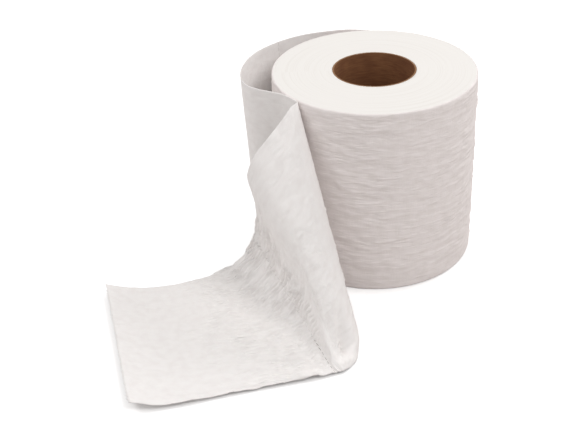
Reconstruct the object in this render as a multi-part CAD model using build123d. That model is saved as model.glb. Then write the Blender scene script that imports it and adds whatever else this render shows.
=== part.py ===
from build123d import *
from math import cos, radians, sin
import os

# Toilet paper roll that stands on end, with its loose end folded down and laid out flat.
# Millimetres. The origin is on the roll's axis at its base, +Z runs up the axis, and the
# loose end comes forward (-Y) and to the left (-X).

# Web: the one strip of tissue that is wound, looped and folded.
web_width = 101.6
web_thickness = 0.5
sheet_length = 95.25

# Wound part of the web.
roll_diameter = 106.5
rim_bevel = 0.7
mark_pitch = 5.0
mark_width = 0.3
mark_depth = 0.3
mark_margin = 1.6

# Cardboard core.
core_bore_diameter = 41.8
core_wall = 0.9

# Loop: where the web stands off the roll, as an angle round the axis from +X and the gap
# between the roll and the web's upper edge, in hundredths of the roll's radius. The web
# leaves the roll at the back and touches it again at the last angle, where the fold starts.
# The loop's foot stands in by a share of the gap.
loop_start_angle = 88.0
touch_angle = 217.7
touch_gap = 0.2
foot_inset_share = 0.33
loop_gap_shares = (
    (99.5, 4.3),
    (111.0, 8.1),
    (122.0, 13.0),
    (134.0, 17.8),
    (146.0, 22.5),
    (157.0, 26.7),
    (168.5, 29.1),
    (178.0, 29.9),
    (186.0, 29.3),
    (192.0, 26.1),
    (197.5, 19.3),
    (203.0, 10.5),
    (209.5, 3.6),
)

# Fold: the straight lines that the folded sheet bends about. Each has an upper end (right,
# back, height) on the web's upper edge and a foot (right, back) on its lower edge, in
# hundredths of the web's width from the foot of the touch line. They fan out from the
# touch point down the fold, and then from the foot of the fold up the front layer.
fold_line_shares = (
    ((0.9, -1.0, 100.0), (9.0, -12.0)),
    ((1.5, -2.1, 100.0), (18.0, -27.5)),
    ((1.8, -3.2, 100.0), (24.8, -43.5)),
    ((1.5, -4.2, 99.9), (27.4, -57.0)),
    ((0.3, -5.0, 99.7), (26.8, -69.0)),
    ((-2.2, -6.6, 99.0), (24.7, -77.0)),
    ((-6.6, -10.8, 96.2), (21.6, -81.9)),
    ((-13.2, -16.2, 90.4), (19.2, -84.0)),
    ((-20.0, -19.3, 81.2), (17.8, -85.0)),
    ((-23.4, -17.6, 69.6), (17.0, -85.6)),
    ((-22.5, -12.9, 57.8), (16.4, -86.0)),
    ((-20.9, -7.6, 46.2), (15.9, -86.3)),
    ((-20.6, -3.0, 34.6), (15.4, -86.6)),
    ((-22.8, 0.4, 23.0), (14.8, -87.0)),
    ((-28.0, 2.1, 12.0), (13.6, -87.5)),
    ((-36.6, 1.2, 3.4), (11.4, -88.4)),
    ((-45.0, -1.5, 0.3), (6.8, -89.9)),
)

# Lay: the flat stretch, as the way each edge has run from the last line of the fold (left
# and back) and how high it lies, in hundredths of a sheet's length. The torn end curls up,
# as the paper was wound.
lay_line_shares = (
    ((10.0, -4.4, 0.0), (20.0, -4.6, 0.0)),
    ((25.0, -9.4, 0.0), (46.0, -10.8, 0.0)),
    ((39.0, -11.6, 0.6), (66.5, -16.2, 0.1)),
    ((49.5, -13.1, 2.9), (81.5, -18.9, 1.7)),
    ((59.0, -13.6, 5.7), (91.4, -19.3, 4.4)),
)
steps_per_line = 4

roll_radius = roll_diameter / 2
core_outer_radius = core_bore_diameter / 2 + core_wall
standing = (Align.CENTER, Align.CENTER, Align.MIN)


def around(angle, radius, height):
    """Point at an angle and a radius round the roll's axis."""
    return Vector(radius * cos(radians(angle)), radius * sin(radians(angle)), height)


def loop_ends():
    """Upper and lower ends of the upright lines of the loop, from the roll to the touch."""
    tops = [around(loop_start_angle, roll_radius - web_thickness, web_width)]
    feet = [around(loop_start_angle, roll_radius - web_thickness, 0)]
    touching = roll_radius + web_thickness / 2
    for angle, share in loop_gap_shares:
        gap = roll_radius * share / 100
        tops.append(around(angle, touching + gap, web_width))
        feet.append(around(angle, touching + gap * (1 - foot_inset_share), 0))
    tops.append(around(touch_angle, touching + touch_gap, web_width))
    feet.append(around(touch_angle, touching + touch_gap, 0))
    return tops, feet


def fold_ends(touch_foot):
    """Upper and lower ends of the lines that the folded sheet bends about."""
    unit = web_width / 100
    tops = [touch_foot + Vector(*top) * unit for top, foot in fold_line_shares]
    feet = [touch_foot + Vector(*foot, 0) * unit for top, foot in fold_line_shares]
    return tops, feet


def lay_ends(landing_top, landing_foot):
    """Upper and lower ends of the lines of the flat stretch, out to the torn end."""
    unit = sheet_length / 100
    tops = []
    feet = []
    for top, foot in lay_line_shares:
        tops.append(Vector(landing_top.X, landing_top.Y, 0) + Vector(-top[0], top[1], top[2]) * unit)
        feet.append(landing_foot + Vector(-foot[0], foot[1], foot[2]) * unit)
    return tops, feet


def loose_edges():
    """Upper and lower ends of every line of the loose end, from the roll to the torn end."""
    tops, feet = loop_ends()
    fold_tops, fold_feet = fold_ends(feet[-1])
    lay_tops, lay_feet = lay_ends(fold_tops[-1], fold_feet[-1])
    return tops + fold_tops + lay_tops, feet + fold_feet + lay_feet


def smooth(points, at):
    """Point on the smooth curve through the given points, at 0 for the first, 1 for the next."""
    index = min(int(at), len(points) - 2)
    here, there = points[index], points[index + 1]
    before = points[index - 1] if index else here * 2 - there
    after = points[index + 2] if index + 2 < len(points) else there * 2 - here
    t = at - index
    leave = (there - before) / 2
    arrive = (after - here) / 2
    bend = leave + arrive + (here - there) * 2
    swing = (there - here) * 3 - leave * 2 - arrive
    return here + leave * t + swing * t**2 + bend * t**3


def section(tops, feet, at):
    """Corners of a cut across the web along one line, as thick as the web, on the floor."""
    near = 0.01
    top = smooth(tops, at)
    foot = smooth(feet, at)
    way = smooth(tops, at + near) + smooth(feet, at + near)
    way -= smooth(tops, at - near) + smooth(feet, at - near)
    half = (top - foot).cross(way).normalized() * (web_thickness / 2)
    lift = Vector(0, 0, abs(half.Z))
    return [top + lift + half, foot + lift + half, foot + lift - half, top + lift - half]


def flat_face(*corners):
    """Flat face between corners."""
    return Face(Wire.make_polygon(corners, close=True))


def loose_end():
    """The web from where it leaves the roll to its torn end, in narrow flat facets."""
    tops, feet = loose_edges()
    steps = (len(tops) - 1) * steps_per_line
    sections = [section(tops, feet, step / steps_per_line) for step in range(steps + 1)]
    faces = [flat_face(*sections[0]), flat_face(*sections[-1])]
    for here, there in zip(sections, sections[1:]):
        for side in range(4):
            following = (side + 1) % 4
            faces.append(flat_face(here[side], here[following], there[following]))
            faces.append(flat_face(here[side], there[following], there[side]))
    return Solid(Shell(faces))


def turn_marks():
    """Flat band along a spiral of half circles, where the edges of the turns show."""
    radius = core_outer_radius + mark_margin
    outer = []
    inner = []
    half_turn = 0
    while radius + mark_pitch / 2 + mark_margin < roll_radius:
        centre = (half_turn % 2) * mark_pitch / 2
        start = 180 * (half_turn % 2)
        for arcs, offset in ((outer, mark_width / 2), (inner, -mark_width / 2)):
            arcs.append(Edge.make_circle(radius + offset, Plane((centre, 0, 0)), start, start + 180))
        radius += mark_pitch / 2
        half_turn += 1
    starts = Edge.make_line(inner[0] @ 0, outer[0] @ 0)
    ends = Edge.make_line(inner[-1] @ 1, outer[-1] @ 1)
    return Face(Wire(outer + [ends] + inner + [starts]))


def wound_roll():
    """The wound turns as one ring with eased rims and the spiral of turns on both ends."""
    ring = Cylinder(roll_radius, web_width, align=standing)
    rims = ring.edges().filter_by(GeomType.CIRCLE)
    ring = chamfer(rims, rim_bevel)
    ring -= Cylinder(core_outer_radius, web_width, align=standing)
    marks = turn_marks()
    ring -= extrude(marks, mark_depth)
    ring -= Pos(0, 0, web_width - mark_depth) * extrude(marks, mark_depth)
    return ring


def core_tube():
    """Cardboard tube that the web is wound on."""
    tube = Cylinder(core_outer_radius, web_width, align=standing)
    return tube - Cylinder(core_bore_diameter / 2, web_width, align=standing)


def tissue_web():
    """The whole strip of tissue: its wound turns, its loop, its fold and its flat end."""
    return wound_roll() + loose_end()


os.makedirs("parts", exist_ok=True)
export_step(tissue_web(), "parts/tissue_web.step")
export_step(core_tube(), "parts/core_tube.step")
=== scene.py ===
from math import asin, atan2, cos, hypot, pi, radians, sin, tan

import bmesh
import bpy
from mathutils import Matrix, Vector, noise


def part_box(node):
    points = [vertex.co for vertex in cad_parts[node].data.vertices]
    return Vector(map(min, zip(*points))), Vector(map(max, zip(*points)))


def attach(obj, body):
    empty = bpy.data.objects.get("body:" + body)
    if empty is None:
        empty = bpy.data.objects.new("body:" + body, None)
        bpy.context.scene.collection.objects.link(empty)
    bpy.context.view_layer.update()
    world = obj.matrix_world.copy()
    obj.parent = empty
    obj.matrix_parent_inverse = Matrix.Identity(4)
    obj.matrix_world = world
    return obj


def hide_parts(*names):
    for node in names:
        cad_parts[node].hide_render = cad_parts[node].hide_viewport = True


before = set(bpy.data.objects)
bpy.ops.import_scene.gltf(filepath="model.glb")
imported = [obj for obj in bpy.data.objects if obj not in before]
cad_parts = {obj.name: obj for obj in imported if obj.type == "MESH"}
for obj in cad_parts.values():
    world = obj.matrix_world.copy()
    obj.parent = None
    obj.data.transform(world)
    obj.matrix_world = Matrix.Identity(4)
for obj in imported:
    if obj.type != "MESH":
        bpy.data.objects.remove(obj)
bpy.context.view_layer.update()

# Cardboard core. The real core is a tube of two plies of brown board, wound on a slant and
# glued, then cut square at both ends. The butt seam of the inner ply runs up the bore as a
# slanted line, and the cut rim is a little paler.
core_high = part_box("core_tube")[1]
core_radius = core_high.x
web_width = core_high.z
core_wall = 0.0009
strip_width = 0.072
seam_width = 0.0016
seam_darkness = 0.8
seam_step = 2.0
fibre_length = 0.006
fibre_width = 0.0009
fibre_depth = 0.0002
mottle_size = 0.0111
board_brown = "#9C6F4B"
board_dark = "#6F4630"
board_cut = "#8C694C"


def linear(code):
    """Linear colour, with alpha, of an sRGB hex value."""
    parts = [int(code[i:i + 2], 16) / 255 for i in (1, 3, 5)]
    return [c / 12.92 if c <= 0.04045 else ((c + 0.055) / 1.055) ** 2.4 for c in parts] + [1.0]


def new_material(name, roughness, specular):
    """A node material: the material, its tree and its shader."""
    material = bpy.data.materials.new(name)
    material.use_nodes = True
    tree = material.node_tree
    shader = tree.nodes["Principled BSDF"]
    shader.inputs["Roughness"].default_value = roughness
    shader.inputs["Specular IOR Level"].default_value = specular
    return material, tree, shader


def add(tree, kind, inputs=(), **settings):
    """Adds a node with its settings. Each input is given a value, or is linked to a socket or
    to the first output of a node."""
    node = tree.nodes.new("ShaderNode" + kind)
    for name, value in settings.items():
        setattr(node, name, value)
    named = inputs if isinstance(inputs, dict) else dict(enumerate(inputs))
    for name, value in named.items():
        if isinstance(value, bpy.types.Node):
            value = value.outputs[0]
        if isinstance(value, bpy.types.NodeSocket):
            tree.links.new(value, node.inputs[name])
        else:
            node.inputs[name].default_value = value
    return node


# Wound core board is recycled paper, rolled and glued. It is matt, and the eye sees fibres
# that run round the bore, a soft mottle and the darker seam. Real fibres are finer than the
# picture shows, so they are drawn 0.9 mm wide.
def board_material():
    """Wound core board, with its fibres, its seam and its cut rim."""
    material, tree, shader = new_material("wound_core_board", 0.88, 0.25)
    place = add(tree, "TexCoord").outputs["Object"]
    axes = add(tree, "SeparateXYZ", [place]).outputs
    angle = add(tree, "Math", [axes["Y"], axes["X"]], operation="ARCTAN2")
    turn = add(tree, "Math", [angle, 2 * pi], operation="DIVIDE")
    girth = 2 * pi * core_radius
    lead = girth * tan(asin(strip_width / girth))
    climb = add(tree, "Math", [axes["Z"], lead], operation="DIVIDE")
    slant = add(tree, "Math", [turn, climb], operation="ADD")
    past_seam = add(tree, "Math", [slant], operation="FRACT")
    seam = add(tree, "Math", [past_seam, seam_width / lead], operation="LESS_THAN")
    along = add(tree, "Math", [angle, core_radius / fibre_length], operation="MULTIPLY")
    up = add(tree, "Math", [axes["Z"], fibre_width], operation="DIVIDE")
    fibre_place = add(tree, "CombineXYZ", {"X": along, "Y": up})
    fibres = add(tree, "TexNoise", {"Vector": fibre_place, "Scale": 1.0, "Detail": 3.0})
    mottle = add(tree, "TexNoise", {"Vector": place, "Scale": 1 / mottle_size, "Detail": 2.0})
    blend = add(tree, "Math", [fibres, mottle], operation="MULTIPLY")
    ramp = add(tree, "ValToRGB", [blend])
    for stop, position, code in zip(ramp.color_ramp.elements, (0.035, 0.535), (board_dark, board_brown)):
        stop.position = position
        stop.color = linear(code)
    seam_tone = add(tree, "Math", [seam, seam_darkness], operation="MULTIPLY")
    seam_mix = {"Factor": seam_tone, "A": ramp, "B": linear(board_dark)}
    seamed = add(tree, "Mix", seam_mix, data_type="RGBA").outputs["Result"]
    rim = add(tree, "Math", [axes["Z"], web_width - core_wall / 20], operation="GREATER_THAN")
    rim_mix = {"Factor": rim, "A": seamed, "B": linear(board_cut)}
    rimmed = add(tree, "Mix", rim_mix, data_type="RGBA").outputs["Result"]
    tree.links.new(rimmed, shader.inputs["Base Color"])
    seam_drop = add(tree, "Math", [seam, seam_step], operation="MULTIPLY")
    height = add(tree, "Math", [fibres, seam_drop], operation="SUBTRACT")
    bump = add(tree, "Bump", {"Height": height, "Strength": 0.3, "Distance": fibre_depth})
    tree.links.new(bump.outputs[0], shader.inputs["Normal"])
    return material


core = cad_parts["core_tube"]
core.data.materials.clear()
core.data.materials.append(board_material())

# Wound turns. One strip of creped tissue, wound firmly on the core. The flank shows the
# outermost turn, drawn tight into fine wavy crinkles that run round the roll, and the ends
# show the cut edges of all the turns, close together and almost flat.
roll_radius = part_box("tissue_web")[1].x
rim_round = 0.0008
rim_steps = 4
flank_rows = 216
end_rows = 36
bore_rows = 4
columns = 232
crinkle_reach = 0.012
crinkle_spacing = 0.0021
crinkle_height = 0.00032
dimple_length = 0.0055
dimple_shape = 1.8
dimple_height = 0.0002
patch_length = 0.02
patch_width = 0.009
rim_fade = 0.004
turn_group = 0.0021
turn_step = 0.00004
seam_angle = radians(88)
seam_clear = radians(16)
tissue_white = "#F7F4F2"
tissue_shade = "#F3EFED"
# The flank's two whites are the tissue's white made darker and warmer as painted shade, for the shade in the
# crinkles of the tight outer turn.
flank_shaded_white = "#F0E9E7"
flank_shaded_low = "#EBE4E1"
# The cut edges' whites are darkened as painted shade, for the light trapped between the turns.
edge_shaded_white = "#EDEAE6"
edge_shaded_low = "#E7E3DE"
crepe_spacing = 0.0009
crepe_length = 0.0045
crepe_depth = 0.00012
fibre_grain = 0.0004
cloud_size = 0.004545
flank_creases = (0.010, 0.0016, 0.0004)
ring_spacing = 0.0006
ring_depth = 0.0002


def crinkle(along, across, reach, spacing, seed):
    """Wavy creases that run along a web, in rows a spacing apart, with sharp crests in patches."""
    drift = 1.2 * noise.noise((along / reach, across / spacing / 5, seed + 7.3))
    wave = noise.noise((along / reach, across / spacing / 1.6 + drift, seed))
    rows = noise.noise((along / reach / 1.3, across / spacing + drift, seed + 3.1))
    fine = noise.noise((along / reach / 0.7, across / spacing * 1.4 + drift, seed + 5.7))
    crest = max(0, 1 - 7 * abs(rows)) + 0.6 * max(0, 1 - 6 * abs(fine))
    patch = noise.noise((along / patch_length, across / patch_width, seed + 9))
    return 1.2 * wave + crest * (0.7 + 0.9 * patch)


# Creped tissue is soft paper, scraped off a drying drum in tiny folds. It is white and quite
# matt, and the eye sees crepe lines across it, creases along it and a soft grain. Real crepe
# and fibres are finer than the picture shows, so they are drawn 0.9 and 0.4 mm wide.
def tissue_material(name, high, low, crease_length, crease_spacing, crease_depth):
    """Creped tissue in two whites, with crepe lines, a grain and creases where it is creased."""
    material, tree, shader = new_material(name, 0.95, 0.15)
    web = add(tree, "UVMap", uv_map="web").outputs[0]
    axes = add(tree, "SeparateXYZ", [web]).outputs
    cloud = add(tree, "TexNoise", {"Vector": web, "Scale": 1 / cloud_size, "Detail": 2.0})
    shade = add(tree, "ValToRGB", [cloud])
    for stop, position, code in zip(shade.color_ramp.elements, (0.3, 0.6), (low, high)):
        stop.position = position
        stop.color = linear(code)
    tree.links.new(shade.outputs[0], shader.inputs["Base Color"])
    crepe_along = add(tree, "Math", [axes["X"], crepe_spacing], operation="DIVIDE")
    crepe_across = add(tree, "Math", [axes["Y"], crepe_length], operation="DIVIDE")
    crepe_place = add(tree, "CombineXYZ", {"X": crepe_along, "Y": crepe_across})
    crepe = add(tree, "TexNoise", {"Vector": crepe_place, "Scale": 1.0, "Detail": 1.0})
    grain = add(tree, "TexNoise", {"Vector": web, "Scale": 1 / fibre_grain, "Detail": 2.0})
    grain_height = add(tree, "Math", [grain, 0.5], operation="MULTIPLY")
    height = add(tree, "Math", [crepe, grain_height], operation="ADD")
    bump = add(tree, "Bump", {"Height": height, "Strength": 0.35, "Distance": crepe_depth})
    crease_along = add(tree, "Math", [axes["X"], crease_length], operation="DIVIDE")
    crease_across = add(tree, "Math", [axes["Y"], crease_spacing], operation="DIVIDE")
    crease_place = add(tree, "CombineXYZ", {"X": crease_along, "Y": crease_across})
    crease_noise = {"Vector": crease_place, "Scale": 1.0, "Detail": 1.5, "Distortion": 0.6}
    creases = add(tree, "TexNoise", crease_noise)
    creased = add(tree, "Attribute", attribute_name="creased").outputs["Fac"]
    crease_height = add(tree, "Math", [creases, creased], operation="MULTIPLY")
    deep = add(tree, "Bump", {"Height": crease_height, "Normal": bump, "Distance": crease_depth})
    tree.links.new(deep.outputs[0], shader.inputs["Normal"])
    return material, tree, shader


# The cut edges of the turns are sawn tissue, nearly flat and matt. Their whites are darkened
# as painted shade, for the light trapped between the turns. The eye sees faint rings that
# follow the spiral. Real turns are under 0.2 mm apart, too close to show, so the rings are
# drawn 0.6 mm apart.
def cut_edge_material():
    """Sawn edges of wound tissue, as faint rings and a fibre grain, darkened as painted shade."""
    material, tree, shader = new_material("cut_tissue_edges_painted_shade", 0.95, 0.12)
    place = add(tree, "TexCoord").outputs["Object"]
    axes = add(tree, "SeparateXYZ", [place]).outputs
    right_square = add(tree, "Math", [axes["X"], axes["X"]], operation="MULTIPLY")
    back_square = add(tree, "Math", [axes["Y"], axes["Y"]], operation="MULTIPLY")
    square = add(tree, "Math", [right_square, back_square], operation="ADD")
    radius = add(tree, "Math", [square], operation="SQRT")
    angle = add(tree, "Math", [axes["Y"], axes["X"]], operation="ARCTAN2")
    turn = add(tree, "Math", [angle, 2 * pi], operation="DIVIDE")
    ring_count = add(tree, "Math", [radius, ring_spacing], operation="DIVIDE")
    ring = add(tree, "Math", [ring_count, turn], operation="SUBTRACT")
    round_way = add(tree, "Math", [turn, 3.0], operation="MULTIPLY")
    ring_place = add(tree, "CombineXYZ", {"X": ring, "Y": round_way})
    rings = add(tree, "TexNoise", {"Vector": ring_place, "Scale": 1.0, "Detail": 2.0})
    shade = add(tree, "ValToRGB", [rings])
    for stop, position, code in zip(shade.color_ramp.elements, (0.25, 0.5), (edge_shaded_low, edge_shaded_white)):
        stop.position = position
        stop.color = linear(code)
    tree.links.new(shade.outputs[0], shader.inputs["Base Color"])
    grain = add(tree, "TexNoise", {"Vector": place, "Scale": 1 / fibre_grain, "Detail": 1.0})
    grain_height = add(tree, "Math", [grain, 0.4], operation="MULTIPLY")
    height = add(tree, "Math", [rings, grain_height], operation="ADD")
    bump = add(tree, "Bump", {"Height": height, "Strength": 0.3, "Distance": ring_depth})
    tree.links.new(bump.outputs[0], shader.inputs["Normal"])
    return material


def subdivide_straight(mesh, first, second, cuts):
    """Divides the edge between two points of a profile."""
    wanted = sorted(tuple(round(c, 6) for c in point) for point in (first, second))
    for edge in mesh.edges:
        ends = sorted(tuple(round(c, 6) for c in vertex.co) for vertex in edge.verts)
        if ends == wanted:
            bmesh.ops.subdivide_edges(mesh, edges=[edge], cuts=cuts)
            return


def flank_relief(angle, height):
    """Height of the crinkles and dimples on the flank, which close up all the way round."""
    along = angle * roll_radius
    around_back = along - 2 * pi * roll_radius
    share = (angle + pi) / 2 / pi
    join = max(0.0, min(1.0, (share - 0.9) / 0.1))
    here = crinkle(along, height, crinkle_reach, crinkle_spacing, 1.7)
    there = crinkle(around_back, height, crinkle_reach, crinkle_spacing, 1.7)
    wave = here * (1 - join) + there * join
    up = height / dimple_length * dimple_shape
    dimple_here = noise.noise((along / dimple_length, up, 4.4))
    dimple_there = noise.noise((around_back / dimple_length, up, 4.4))
    dimple = dimple_here * (1 - join) + dimple_there * join
    return crinkle_height * wave + dimple_height * dimple


def press_turns(vertex):
    """Moves a point of the smooth roll to where the wound tissue lies."""
    angle = atan2(vertex.co.y, vertex.co.x)
    radius = hypot(vertex.co.x, vertex.co.y)
    height = vertex.co.z
    out = 0.0
    up = 0.0
    if radius > roll_radius - rim_round:
        from_seam = abs((angle - seam_angle + pi) % (2 * pi) - pi)
        near_rim = min(height, web_width - height)
        calm = min(1, from_seam / seam_clear) * min(1, near_rim / rim_fade + 0.25)
        out = calm * flank_relief(angle, height)
    else:
        depth = (radius - core_radius) / (roll_radius - core_radius)
        turns = radius / turn_group - angle / 2 / pi
        level = noise.noise((turns, cos(angle) * 0.8, sin(angle) * 0.8)) - 0.6
        up = turn_step * level * min(1, 12 * (1 - depth))
    if height > web_width / 2:
        vertex.co.z += up
    else:
        vertex.co.z -= up
    vertex.co.x += out * cos(angle)
    vertex.co.y += out * sin(angle)


def wound_turns():
    """The wound part: a spun profile whose flank and ends are pressed into tissue."""
    mesh = bmesh.new()
    corners = ((core_radius, 0), (roll_radius, 0), (roll_radius, web_width), (core_radius, web_width))
    points = [mesh.verts.new((radius, 0, height)) for radius, height in corners]
    for first, second in zip(points, points[1:] + points[:1]):
        mesh.edges.new((first, second))
    bmesh.ops.bevel(mesh, geom=points[1:3], offset=rim_round, segments=rim_steps, profile=0.5,
                    affect="VERTICES", material=-1)
    rim = roll_radius - rim_round
    top = web_width - rim_round
    subdivide_straight(mesh, (core_radius, 0, 0), (rim, 0, 0), end_rows)
    subdivide_straight(mesh, (core_radius, 0, web_width), (rim, 0, web_width), end_rows)
    subdivide_straight(mesh, (roll_radius, 0, rim_round), (roll_radius, 0, top), flank_rows)
    subdivide_straight(mesh, (core_radius, 0, 0), (core_radius, 0, web_width), bore_rows)
    bmesh.ops.spin(mesh, geom=mesh.verts[:] + mesh.edges[:], cent=(0, 0, 0), axis=(0, 0, 1),
                   angle=2 * pi, steps=columns, use_merge=True)
    bmesh.ops.remove_doubles(mesh, verts=mesh.verts, dist=0.00001)
    bmesh.ops.recalc_face_normals(mesh, faces=mesh.faces)
    web = mesh.loops.layers.uv.new("web")
    creased = mesh.verts.layers.float.new("creased")
    for face in mesh.faces:
        middle = face.calc_center_median()
        turned = atan2(middle.y, middle.x)
        face.material_index = 0 if hypot(middle.x, middle.y) > rim else 1
        face.smooth = True
        for loop in face.loops:
            spot = loop.vert.co
            angle = turned + (atan2(spot.y, spot.x) - turned + pi) % (2 * pi) - pi
            loop[web].uv = (angle * roll_radius, spot.z)
    for vertex in mesh.verts:
        vertex[creased] = 1.0
        if hypot(vertex.co.x, vertex.co.y) > core_radius + 0.0001:
            press_turns(vertex)
    data = bpy.data.meshes.new("wound_turns")
    mesh.to_mesh(data)
    mesh.free()
    piece = bpy.data.objects.new("wound_turns", data)
    bpy.context.scene.collection.objects.link(piece)
    return piece


roll = wound_turns()
# The flank's material carries painted shade in its two whites.
roll.data.materials.append(tissue_material("creped_tissue_painted_shade", flank_shaded_white, flank_shaded_low, *flank_creases)[0])
roll.data.materials.append(cut_edge_material())
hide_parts("tissue_web")
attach(roll, "root")

# Loose end. The last three and a half sheets of the same strip. They stand off the roll as
# a loop, touch it again at the rim, fold over on a slant and lie flat to a torn edge. The
# tissue is soft and two plies thick, so it is crinkled most where it bends up off the floor.
sheet_length = 0.09525
sheet_thickness = 0.0003
web_thickness = 0.0005
loop_start_angle = 88.0
touch_angle = 217.7
touch_gap = 0.0002
foot_inset = 0.33
loop_gaps = (
    (99.5, 4.3), (111.0, 8.1), (122.0, 13.0), (134.0, 17.8), (146.0, 22.5), (157.0, 26.7),
    (168.5, 29.1), (178.0, 29.9), (186.0, 29.3), (192.0, 26.1), (197.5, 18.6), (203.0, 8.8),
    (209.5, 1.8),
)
fold_lines = (
    ((0.9, -1.0, 100.0), (9.0, -12.0)),
    ((1.5, -2.1, 100.0), (18.0, -27.5)),
    ((1.8, -3.2, 100.0), (24.8, -43.5)),
    ((1.5, -4.2, 99.9), (27.4, -57.0)),
    ((0.3, -5.0, 99.7), (26.8, -69.0)),
    ((-1.7, -6.5, 98.6), (24.7, -77.0)),
    ((-5.4, -10.6, 95.0), (21.6, -81.9)),
    ((-11.8, -16.0, 89.1), (19.2, -84.0)),
    ((-19.3, -19.2, 80.7), (17.8, -85.0)),
    ((-23.4, -17.6, 69.6), (17.0, -85.6)),
    ((-22.5, -12.9, 57.8), (16.4, -86.0)),
    ((-20.9, -7.6, 46.2), (15.9, -86.3)),
    ((-20.6, -3.0, 34.6), (15.4, -86.6)),
    ((-22.8, 0.4, 23.0), (14.8, -87.0)),
    ((-28.0, 2.1, 12.0), (13.6, -87.5)),
    ((-36.6, 1.2, 3.4), (11.4, -88.4)),
    ((-45.0, -1.5, 0.3), (6.8, -89.9)),
)
lay_lines = (
    ((10.0, -4.4, 0.0), (20.0, -4.6, 0.0)),
    ((25.0, -9.4, 0.0), (46.0, -10.8, 0.0)),
    ((39.0, -11.6, 0.6), (66.5, -16.2, 0.1)),
    ((49.5, -13.1, 2.9), (81.5, -18.9, 1.7)),
    ((59.0, -13.6, 5.7), (91.4, -19.3, 4.4)),
)
sheet_columns = 280
sheet_rows = 160
curve_steps = 40
way_reach = 0.02
loose_creases = (0.0045, 0.0021, 0.0013)
slit_pitch = 0.0032
slit_share = 0.62
slit_width = 0.00045
# Grey of the slits: painted shade, for the shadow under the ply seen through the cuts.
slit_shadow_grey = "#8F8681"
slit_pull = 0.25
toe_pull = 0.75
toe_pull_height = (0.018, 0.03)
# Where the loop's start fades from the flank's painted shade to the tissue's white.
flank_shade_run = (0.004, 0.036)

# Where each form lies, by bend lines counted from the roll or by heights above the web's
# lower edge. Four values say where it starts, is full, starts to fade and has gone, and two
# say where one rise or one fall starts and ends.
root_lines = (0, 3)
leaving_lines = (0.5, 3.5)
freed_lines = (14, 16)
front_lines = (15, 17, 22, 24)
front_middle = 19.5
toe_lines = (19.5, 21, 24, 25.5)
toe_height = (0.03, 0.07)
curl_lines = (24.8, 26.5, 31.5, 33.5)
heel_lines = (19.5, 20.5, 25.5, 27)
heel_strip = (0, 0.003, 0.010, 0.016)
dent_lines = (19.4, 20.6, 22.4, 24.4)
dent_strip = (0.002, 0.006, 0.006, 0.027)
hollow_line = 23
hollow_rise = 0.04
hollow_before = 2.6
hollow_after = 3.5
hollow_strip = (0.002, 0.03, 0.03, 0.085)
hem_lines = (19, 21)
hem_width = 0.011
tight_line = 18.9
tight_reach = 2.4
tight_height = (0.03, 0.05)
wave_lines = (30, 33)

# How long each pattern is along the web and how wide across it, from one crest to the next.
loose_crinkle_size = (0.009, 0.0024)
front_crinkle_size = (0.0045, 0.0031)
loose_dimple_size = (0.0036, 0.0028)
front_dimple_size = (0.0036, 0.0030)
ripple_spacing = 0.0026
ripple_drift_size = (0.009, 0.014)
ripple_patch_size = (0.006, 0.005)
pucker_spacing = 0.0034
pucker_slant = 0.03
pucker_drift_size = (0.01, 0.01)
lay_wave_size = (0.03, 0.02)
hem_waver_length = 0.012
torn_waver_length = 0.0013

# How far each form stands out, or is pushed in.
loose_crinkle = 0.00034
front_crinkle = 0.00042
loose_dimple = 0.0001
front_dimple = 0.00036
ripple_height = 0.00105
pucker_height = 0.0006
hollow_depth = 0.0065
dent_depth = 0.007
hem_lift = 0.0015
hem_waver = 0.0013
lay_wave = 0.0005
slit_groove = 0.00025
slit_groove_reach = 0.0022
tie_length = 0.0004
torn_waver = 0.0005


def around(angle, radius, height):
    """Point at an angle and a radius round the roll's axis."""
    return Vector((radius * cos(radians(angle)), radius * sin(radians(angle)), height))


def loose_edges():
    """Upper and lower ends of the lines that the loose end bends about."""
    start = roll_radius - web_thickness
    tops = [around(loop_start_angle, start, web_width)]
    feet = [around(loop_start_angle, start, 0)]
    touching = roll_radius + web_thickness / 2
    for angle, share in loop_gaps:
        gap = roll_radius * share / 100
        tops.append(around(angle, touching + gap, web_width))
        feet.append(around(angle, touching + gap * (1 - foot_inset), 0))
    tops.append(around(touch_angle, touching + touch_gap, web_width))
    feet.append(around(touch_angle, touching + touch_gap, 0))
    touch_foot = feet[-1]
    for top, foot in fold_lines:
        tops.append(touch_foot + Vector(top) * web_width / 100)
        feet.append(touch_foot + Vector((*foot, 0)) * web_width / 100)
    landing_top, landing_foot = Vector((tops[-1].x, tops[-1].y, 0)), feet[-1]
    for top, foot in lay_lines:
        tops.append(landing_top + Vector((-top[0], top[1], top[2])) * sheet_length / 100)
        feet.append(landing_foot + Vector((-foot[0], foot[1], foot[2])) * sheet_length / 100)
    return tops, feet


def smooth(points, at):
    """Point on the smooth curve through the given points, at 0 for the first, 1 for the next."""
    index = max(0, min(int(at), len(points) - 2))
    here, there = points[index], points[index + 1]
    before = points[index - 1] if index else here * 2 - there
    after = points[index + 2] if index + 2 < len(points) else there * 2 - here
    t = at - index
    leave = (there - before) / 2
    arrive = (after - here) / 2
    bend = leave + arrive + (here - there) * 2
    swing = (there - here) * 3 - leave * 2 - arrive
    return here + leave * t + swing * t**2 + bend * t**3


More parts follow.
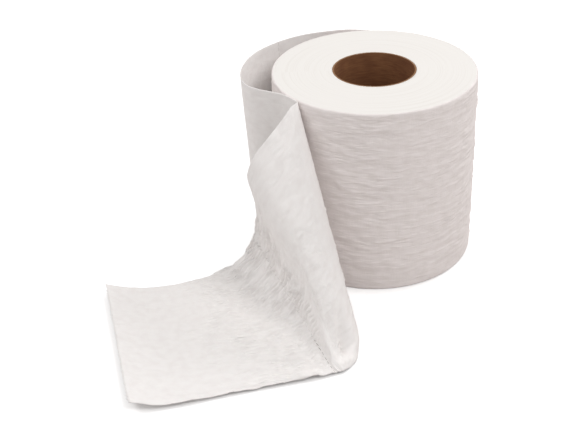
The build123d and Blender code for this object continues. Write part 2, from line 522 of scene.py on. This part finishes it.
def measured_lines(tops, feet, steps):
    """Places along the web, as line numbers an equal mean length apart, and the length."""
    count = curve_steps * (len(tops) - 1)
    fine_places = [index / curve_steps for index in range(count + 1)]
    run = [0.0]
    for first, second in zip(fine_places, fine_places[1:]):
        upper = (smooth(tops, second) - smooth(tops, first)).length
        lower = (smooth(feet, second) - smooth(feet, first)).length
        run.append(run[-1] + (upper + lower) / 2)
    places = []
    index = 0
    for step in range(steps + 1):
        want = run[-1] * step / steps
        while index < count - 1 and run[index + 1] < want:
            index += 1
        share = (want - run[index]) / (run[index + 1] - run[index])
        places.append(fine_places[index] + share / curve_steps)
    return places, run[-1]


def ease(value, low, high):
    """0 below low, 1 above high, and a smooth rise between."""
    t = max(0.0, min(1.0, (value - low) / (high - low)))
    return t * t * (3 - 2 * t)


def zone(value, start, full, fading, end):
    """1 inside a zone and 0 outside it, with a smooth rise before it and fall after it."""
    return ease(value, start, full) * (1 - ease(value, fading, end))


def near_roll(at):
    """1 where the web leaves the roll, and 0 from the first few lines of the loop on."""
    return 1 - ease(at, *leaving_lines)


def swell(along, across, size, seed):
    """Smooth noise, from -1 to 1, with swells of a size along and across the web."""
    return noise.noise((along / size[0], across / size[1], seed))


def ripple(along, across, seed):
    """Short even ripples that run along the web where it is bent, from -1 to 1."""
    phase = across / ripple_spacing + 1.1 * swell(along, across, ripple_drift_size, seed)
    patch = 0.65 + 1.5 * swell(along, across, ripple_patch_size, seed + 4)
    return sin(2 * pi * phase) * max(0, min(1, patch))


def crinkled(at, u, v, front_run):
    """Crinkles, dimples and ripples. On the front layer they fan out with its bend lines."""
    front = zone(at, *front_lines)
    curl = zone(at, *curl_lines)
    free = 0.3 + 0.7 * ease(at, *freed_lines) + 0.7 * near_roll(at)
    height = loose_crinkle * (free * (1 - 0.8 * front) + curl) * crinkle(u, v, *loose_crinkle_size, 9.2)
    height += loose_dimple * free * swell(u, v, loose_dimple_size, 5.5)
    height += ripple_height * curl * ripple(u, v, 2.6)
    fanned = 2 * (u - front_run) / web_width
    side = v * sin(fanned)
    rise = v * cos(fanned)
    slanted = crinkle(side + 0.5 * rise, rise - 0.5 * side, *front_crinkle_size, 4.2)
    height += front_crinkle * front * slanted
    height += front_dimple * front * swell(side, rise, front_dimple_size, 5.5)
    return height


def pressed_in(at, u, v):
    """The hollow beside the front layer, the dent at its toe and the puckers of the heel."""
    deepest = hollow_line + min(1, v / hollow_rise)
    hollow = zone(at, deepest - hollow_before, deepest, deepest, deepest + hollow_after)
    hollow *= zone(v, *hollow_strip)
    dent = zone(at, *dent_lines) * zone(v, *dent_strip)
    heel = zone(at, *heel_lines) * zone(v, *heel_strip)
    drift = 1.4 * swell(u, v, pucker_drift_size, 3.3)
    puckers = sin(2 * pi * (v / pucker_spacing + u / pucker_slant + drift))
    return pucker_height * heel * puckers - hollow_depth * hollow - dent_depth * dent


def waved(at, u, v, from_end):
    """The soft waves of the flat stretch, and the shallow groove along each row of slits."""
    height = lay_wave * ease(at, *wave_lines) * swell(u, v, lay_wave_size, 2.2)
    for count in (1, 2, 3):
        from_row = abs(from_end - count * sheet_length)
        height -= slit_groove * max(0, 1 - from_row / slit_groove_reach)
    return height


def fine_creases(at, v):
    """How deep the fine creases in the material are, from 0 to 1."""
    toe = zone(at, *toe_lines) * (1 - ease(v, *toe_height))
    worn = 0.1 + 0.5 * zone(at, *curl_lines) + 0.08 * zone(at, *front_lines)
    return worn + 0.4 * toe + 0.4 * near_roll(at)


def torn_nib(v):
    """How far the torn edge stands out: at the ties between the slits, and unevenly."""
    tie = 1 if v / slit_pitch % 1 > slit_share else 0
    return tie_length * tie + torn_waver * noise.noise((v / torn_waver_length, 3.3, 8.8))


def loose_end():
    """The loose end: a grid laid along the bend lines, crinkled along its normals."""
    tops, feet = loose_edges()
    last = len(tops) - 1
    places, length = measured_lines(tops, feet, sheet_columns)
    front_run = length * sum(place < front_middle for place in places) / sheet_columns
    mesh = bmesh.new()
    web = mesh.loops.layers.uv.new("web")
    creased = mesh.verts.layers.float.new("creased")
    bmesh.ops.create_grid(mesh, x_segments=sheet_columns, y_segments=sheet_rows, size=0.5, calc_uvs=False)
    shares = {vertex: (vertex.co.x + 0.5, vertex.co.y + 0.5) for vertex in mesh.verts}
    for face in mesh.faces:
        face.smooth = True
        for loop in face.loops:
            along, across = shares[loop.vert]
            loop[web].uv = (along * length, across * web_width)
    for vertex, (along, across) in shares.items():
        at = places[round(along * sheet_columns)]
        ahead = min(at + way_reach, last)
        behind = max(at - way_reach, 0)
        top = smooth(tops, at)
        foot = smooth(feet, at)
        top_way = smooth(tops, ahead) - smooth(tops, behind)
        foot_way = smooth(feet, ahead) - smooth(feet, behind)
        way = foot_way.lerp(top_way, across)
        normal = (top - foot).cross(way).normalized()
        spread = min(1, 2 * way.length / (top_way.length + foot_way.length))
        u = along * length
        v = across * web_width
        height = crinkled(at, u, v, front_run) + pressed_in(at, u, v) + waved(at, u, v, length - u)
        tight = (1 - ease(abs(at - tight_line), 0, tight_reach)) * ease(v, *tight_height)
        height *= spread * (1 - 0.85 * tight)
        hem = ease(at, *hem_lines) * (1 - ease(v, 0, hem_width))
        height += hem * (hem_lift + hem_waver * noise.noise((u / hem_waver_length, 0.3, 6.1)))
        vertex[creased] = spread * fine_creases(at, v)
        vertex.co = foot.lerp(top, across) + normal * height * ease(at, *root_lines)
        if along > 1 - 0.5 / sheet_columns:
            vertex.co += way.normalized() * torn_nib(v)
        vertex.co.z = max(vertex.co.z + abs(normal.z) * sheet_thickness / 2, sheet_thickness / 2)
    data = bpy.data.meshes.new("loose_end")
    mesh.to_mesh(data)
    mesh.free()
    piece = bpy.data.objects.new("loose_end", data)
    bpy.context.scene.collection.objects.link(piece)
    body = piece.modifiers.new("plies", "SOLIDIFY")
    body.thickness = sheet_thickness
    body.offset = 0
    return piece, length


# The same creped tissue, perforated with a row of slits at the end of each sheet. Each row is
# painted as a broken grey line, painted shade for the shadow under the ply that shows through
# the cuts, clearest near the toe, where the paper is pulled. The first stretch of the loop
# keeps the flank's darker, warmer white, which is painted shade.
def perforated_material():
    """Creped tissue with rows of slits in a painted shadow grey, and the flank's painted shade where it
    leaves the roll.
    """
    material, tree, shader = tissue_material("perforated_tissue_painted_shade", tissue_white, tissue_shade, *loose_creases)
    plain = shader.inputs["Base Color"].links[0].from_socket
    web = add(tree, "UVMap", uv_map="web").outputs[0]
    axes = add(tree, "SeparateXYZ", [web]).outputs
    # The loop's first stretch keeps the flank's painted shade, fading out along the web.
    shade_run_start, shade_run_end = flank_shade_run
    leaving = {"Value": axes["X"], "From Min": shade_run_start, "From Max": shade_run_end, "To Min": 1.0, "To Max": 0.0}
    wound = add(tree, "MapRange", leaving)
    flank_shade_mix = {"Factor": wound, "A": plain, "B": linear(flank_shaded_white)}
    loop_flank_shaded = add(tree, "Mix", flank_shade_mix, data_type="RGBA").outputs["Result"]
    from_end = add(tree, "Math", [strip_length, axes["X"]], operation="SUBTRACT")
    sheets = add(tree, "Math", [from_end, sheet_length], operation="DIVIDE")
    nearest_row = add(tree, "Math", [sheets], operation="ROUND")
    past_row = add(tree, "Math", [sheets, nearest_row], operation="SUBTRACT")
    off_row = add(tree, "Math", [past_row], operation="ABSOLUTE")
    low, high = toe_pull_height
    near_edge = {"Value": axes["Y"], "From Min": low, "From Max": high, "To Min": toe_pull, "To Max": 0.0}
    edge_pull = add(tree, "MapRange", near_edge)
    first_sheet = add(tree, "Math", [sheets, 1.5], operation="LESS_THAN")
    more_pull = add(tree, "Math", [edge_pull, first_sheet], operation="MULTIPLY")
    pulled = add(tree, "Math", [more_pull, slit_pull], operation="ADD")
    opened = add(tree, "Math", [pulled, 0.6], operation="ADD")
    half_slit = add(tree, "Math", [opened, slit_width / 2 / sheet_length], operation="MULTIPLY")
    on_row = add(tree, "Math", [off_row, half_slit], operation="LESS_THAN")
    inside = add(tree, "Math", [sheets, 0.5], operation="GREATER_THAN")
    row = add(tree, "Math", [on_row, inside], operation="MULTIPLY")
    slit_count = add(tree, "Math", [axes["Y"], slit_pitch], operation="DIVIDE")
    slit_phase = add(tree, "Math", [slit_count], operation="FRACT")
    cut = add(tree, "Math", [slit_phase, slit_share], operation="LESS_THAN")
    slit = add(tree, "Math", [row, cut], operation="MULTIPLY")
    # The slits are painted grey as shadow, most where the paper is pulled open.
    slit_shadow_share = add(tree, "Math", [slit, pulled], operation="MULTIPLY")
    slit_shadow_mix = {"Factor": slit_shadow_share, "A": loop_flank_shaded, "B": linear(slit_shadow_grey)}
    slitted = add(tree, "Mix", slit_shadow_mix, data_type="RGBA").outputs["Result"]
    tree.links.new(slitted, shader.inputs["Base Color"])
    return material


sheet, strip_length = loose_end()
sheet.data.materials.append(perforated_material())
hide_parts("tissue_web")
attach(sheet, "root")

# Floor and light. A plain white floor, which keeps the shadow of the roll, under three soft
# lamps, in front, to the left and behind, and an even sky. The camera sees floor and sky
# white, and the object is lit by the plain light alone.
floor_size = 3.0
floor_drop = 0.0001
floor_white = "#F7F7F7"
floor_bounce = "#D6D2D0"
floor_glow = 0.42
shadow_glow = 0.01
shadow_reach = 0.008
sky_level = 0.52
sky_colour = (1.0, 0.985, 0.98, 1.0)
lamp_size = 0.4
lamps = {
    "front_lamp": (3.6, (0.52, -0.52, 0.94)),
    "side_lamp": (2.6, (-0.75, 0.0, 0.8)),
    "back_lamp": (3.2, (0.6, 0.5, 0.8)),
}


# The floor is matt white paper, as a backdrop roll. The camera sees it glow white in the
# open, and an occlusion test dims the glow close to the object, which paints a contact shadow
# there on top of the lit one.
def floor_material():
    """Matt white floor that the camera sees as white away from the shadow."""
    material, tree, shader = new_material("white_floor", 1.0, 0.0)
    seen = add(tree, "LightPath").outputs["Is Camera Ray"]
    shade_mix = {"Factor": seen, "A": linear(floor_bounce), "B": linear(floor_white)}
    shade = add(tree, "Mix", shade_mix, data_type="RGBA").outputs["Result"]
    tree.links.new(shade, shader.inputs["Base Color"])
    # Painted contact shadow: the glow that the camera sees falls off where the object is near.
    open_floor = add(tree, "AmbientOcclusion", {"Distance": shadow_reach}, samples=16).outputs["AO"]
    open_glow = add(tree, "Math", [open_floor, floor_glow], operation="MULTIPLY")
    glow = add(tree, "Math", [open_glow, shadow_glow], operation="ADD")
    seen_glow = add(tree, "Math", [seen, glow], operation="MULTIPLY")
    tree.links.new(seen_glow.outputs[0], shader.inputs["Emission Strength"])
    shader.inputs["Emission Color"].default_value = (1.0, 1.0, 1.0, 1.0)
    return material


bpy.ops.mesh.primitive_plane_add(size=floor_size, location=(0, 0, -floor_drop))
floor = bpy.context.object
floor.name = "floor"
floor.data.materials.append(floor_material())

world = bpy.data.worlds.new("soft_sky")
bpy.context.scene.world = world
world.use_nodes = True
sky = world.node_tree
background = sky.nodes["Background"]
seen = add(sky, "LightPath").outputs["Is Camera Ray"]
seen_level = add(sky, "Math", [seen, 1 - sky_level], operation="MULTIPLY")
level = add(sky, "Math", [seen_level, sky_level], operation="ADD")
background.inputs["Color"].default_value = sky_colour
sky.links.new(level.outputs[0], background.inputs["Strength"])

for lamp_name, (power, place) in lamps.items():
    light = bpy.data.lights.new(lamp_name, "AREA")
    light.energy = power
    light.size = lamp_size
    lamp = bpy.data.objects.new(lamp_name, light)
    bpy.context.scene.collection.objects.link(lamp)
    lamp.location = place
    lamp.rotation_mode = "QUATERNION"
    lamp.rotation_quaternion = (-Vector(place)).to_track_quat("-Z", "Y")

# Camera, at the photograph's viewing angle. It looks down on the roll from in front, a
# little to the left of its axis, and leans by two degrees.
image_width = 588
focal_pixels = 1110
camera_fall = radians(31.719)
camera_lean = radians(-2.095)
camera_aim = Vector((-0.04435, 0, 0.01137))
camera_reach = 0.6212

ahead = Vector((0, cos(camera_fall), -sin(camera_fall)))
right = Vector((1, 0, 0))
up = right.cross(ahead)
leaned_right = right * cos(camera_lean) + up * sin(camera_lean)
leaned_up = up * cos(camera_lean) - right * sin(camera_lean)
camera_data = bpy.data.cameras.new("camera")
camera_data.lens = focal_pixels * camera_data.sensor_width / image_width
camera_data.clip_start = 0.01
camera = bpy.data.objects.new("camera", camera_data)
bpy.context.scene.collection.objects.link(camera)
turned = Matrix((leaned_right, leaned_up, -ahead)).transposed().to_4x4()
camera.matrix_world = Matrix.Translation(camera_aim - ahead * camera_reach) @ turned
bpy.context.scene.camera = camera
bpy.context.scene.view_settings.view_transform = "Standard"
